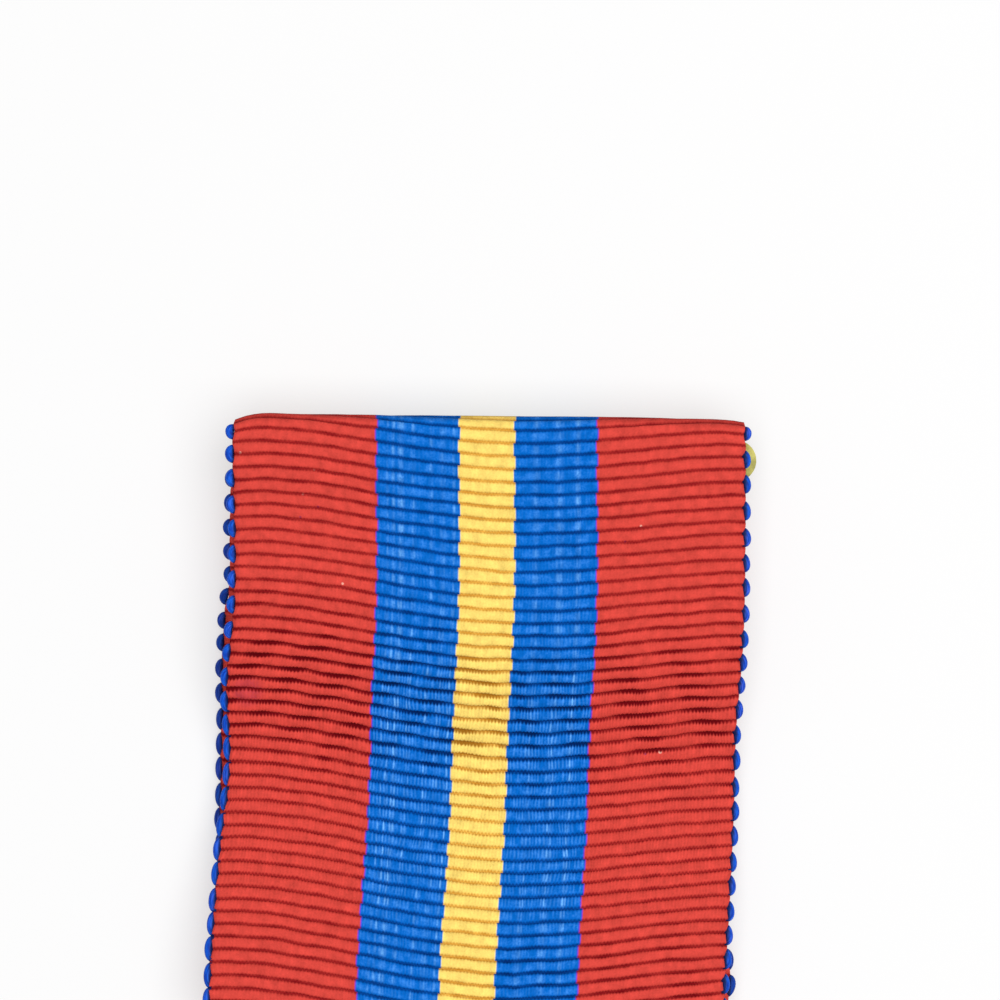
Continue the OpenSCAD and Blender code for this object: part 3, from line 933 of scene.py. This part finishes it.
def pendant():
    points, faces, dark = [], [], []
    for part_points, part_faces, part_dark in (disc_mesh(), barrel_mesh(), web_mesh()):
        first = sum(len(p) for p in points)
        points.append(part_points)
        faces += [[first + k for k in face] for face in part_faces]
        dark.append(part_dark)
    bronze = metal_material("aged_bronze", bright=srgb(206, 166, 114), dull=srgb(170, 132, 88),
                            dark=srgb(70, 50, 33), roughness=0.48, recess=pendant_recess)
    piece = add_mesh("pendant", np.concatenate(points), faces, bronze)
    add_vectors(piece, "relief", np.outer(np.concatenate(dark), [1, 0, 0]))
    piece.modifiers.new("sharp ridges", "EDGE_SPLIT").split_angle = math.radians(20)
    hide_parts("medal_disc")


def suspension_ring():
    turns, sides = 128, 24
    turn = 2 * np.pi * np.arange(turns)[:, None] / turns
    side = 2 * np.pi * np.arange(sides)[None, :] / sides
    radius = RING_R + RING_WIRE / 2 * np.cos(side)
    height = RING_Z + RING_WIRE / 2 * np.sin(side) + 0 * turn
    points = np.stack([radius * np.sin(turn), RING_Y - radius * np.cos(turn), height], -1)
    bronze = metal_material("ring_bronze", bright=srgb(214, 176, 118), dull=srgb(172, 134, 84),
                            dark=srgb(86, 62, 38), roughness=0.34)
    piece = add_mesh("ring_wire", points.reshape(-1, 3), grid_faces(turns, sides, True, True), bronze)
    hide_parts("suspension_ring")


def brooch_pin():
    """The pin keeps its solid, with softened edges and a brass finish."""
    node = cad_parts["brooch_pin"]
    brass = metal_material("pin_brass", bright=srgb(160, 154, 86), dull=srgb(124, 120, 70),
                           dark=srgb(84, 78, 44), roughness=0.46)
    node.data.materials.clear()
    node.data.materials.append(brass)
    soften = node.modifiers.new("soft edges", "BEVEL")
    soften.width = 0.12 * MM
    soften.segments = 3
    soften.limit_method = "ANGLE"
    soften.angle_limit = math.radians(40)
    soften.harden_normals = True


# Stage, light and camera, in millimetres and degrees. PHOTO_WIDTH is what the photo spans at its target.

CAMERA_DISTANCE = 300
CAMERA_TILT = 0.886
CAMERA_ROLL = 2.638
CAMERA_TARGET = np.array([0.488, 80.624, 5.0])
PHOTO_WIDTH = 72.99
SENSOR = 36
FLOOR_SIZE = 6000
FLOOR_DROP = 0.03
FLOOR_COLOR = (0.385, 0.385, 0.388, 1)
FLOOR_GLOW = 0.52
SKY_STRENGTH = 0.28
LAMP_DISTANCE = 700
LAMP_SIZE = 900
LAMP_POWER = 7.2
LAMP_COLOR = (1.0, 0.995, 0.985)
WHITE = (1, 1, 1, 1)

roll = math.radians(CAMERA_ROLL)
PHOTO_RIGHT = np.array([math.cos(roll), math.sin(roll), 0])
PHOTO_UP = np.array([-math.sin(roll), math.cos(roll), 0])
UP = np.array([0, 0, 1])


def camera():
    tilt = math.radians(CAMERA_TILT)
    back = math.cos(tilt) * UP - math.sin(tilt) * PHOTO_UP
    up = np.cross(back, PHOTO_RIGHT)
    data = bpy.data.cameras.new("camera")
    data.sensor_width = SENSOR
    data.lens = SENSOR * CAMERA_DISTANCE / PHOTO_WIDTH
    data.clip_start = 0.01
    data.clip_end = 10
    eye = bpy.data.objects.new("camera", data)
    place_at = Matrix(np.stack([PHOTO_RIGHT, up, back], 1).tolist()).to_4x4()
    place_at.translation = Vector((CAMERA_TARGET + CAMERA_DISTANCE * back) * MM)
    eye.matrix_world = place_at
    bpy.context.scene.collection.objects.link(eye)
    bpy.context.scene.camera = eye


def floor():
    """White sheet lit a little from below, which keeps the shadows on it pale."""
    paint = Paint("light_table", roughness=0.9, specular=0.1)
    paint.surface.inputs["Emission Color"].default_value = WHITE
    paint.surface.inputs["Emission Strength"].default_value = FLOOR_GLOW
    half = FLOOR_SIZE / 2 * MM
    mesh = bpy.data.meshes.new("floor")
    corners = [(-half, -half, 0), (half, -half, 0), (half, half, 0), (-half, half, 0)]
    mesh.from_pydata(corners, [], [(0, 1, 2, 3)])
    mesh.materials.append(paint.finish(FLOOR_COLOR))
    plane = bpy.data.objects.new("floor", mesh)
    plane.location = (0, 0, -FLOOR_DROP * MM)
    bpy.context.scene.collection.objects.link(plane)


def light():
    """Even white surroundings and one broad lamp above, a little to the photo's right."""
    world = bpy.data.worlds.new("studio")
    world.use_nodes = True
    sky = world.node_tree.nodes["Background"]
    sky.inputs["Color"].default_value = WHITE
    sky.inputs["Strength"].default_value = SKY_STRENGTH
    bpy.context.scene.world = world

    data = bpy.data.lights.new("key", "AREA")
    data.shape = "SQUARE"
    data.size = LAMP_SIZE * MM
    data.energy = LAMP_POWER
    data.color = LAMP_COLOR
    lamp = bpy.data.objects.new("key", data)
    away = Vector(PHOTO_RIGHT * 0.2 + UP).normalized()
    lamp.location = Vector(CAMERA_TARGET * MM) + away * LAMP_DISTANCE * MM
    lamp.rotation_euler = away.to_track_quat("Z", "Y").to_euler()
    bpy.context.scene.collection.objects.link(lamp)
    bpy.context.scene.view_settings.view_transform = "Standard"


camera()
floor()
light()
cloth = ribbon()
loops = edge_loops()
pendant()
suspension_ring()
brooch_pin()
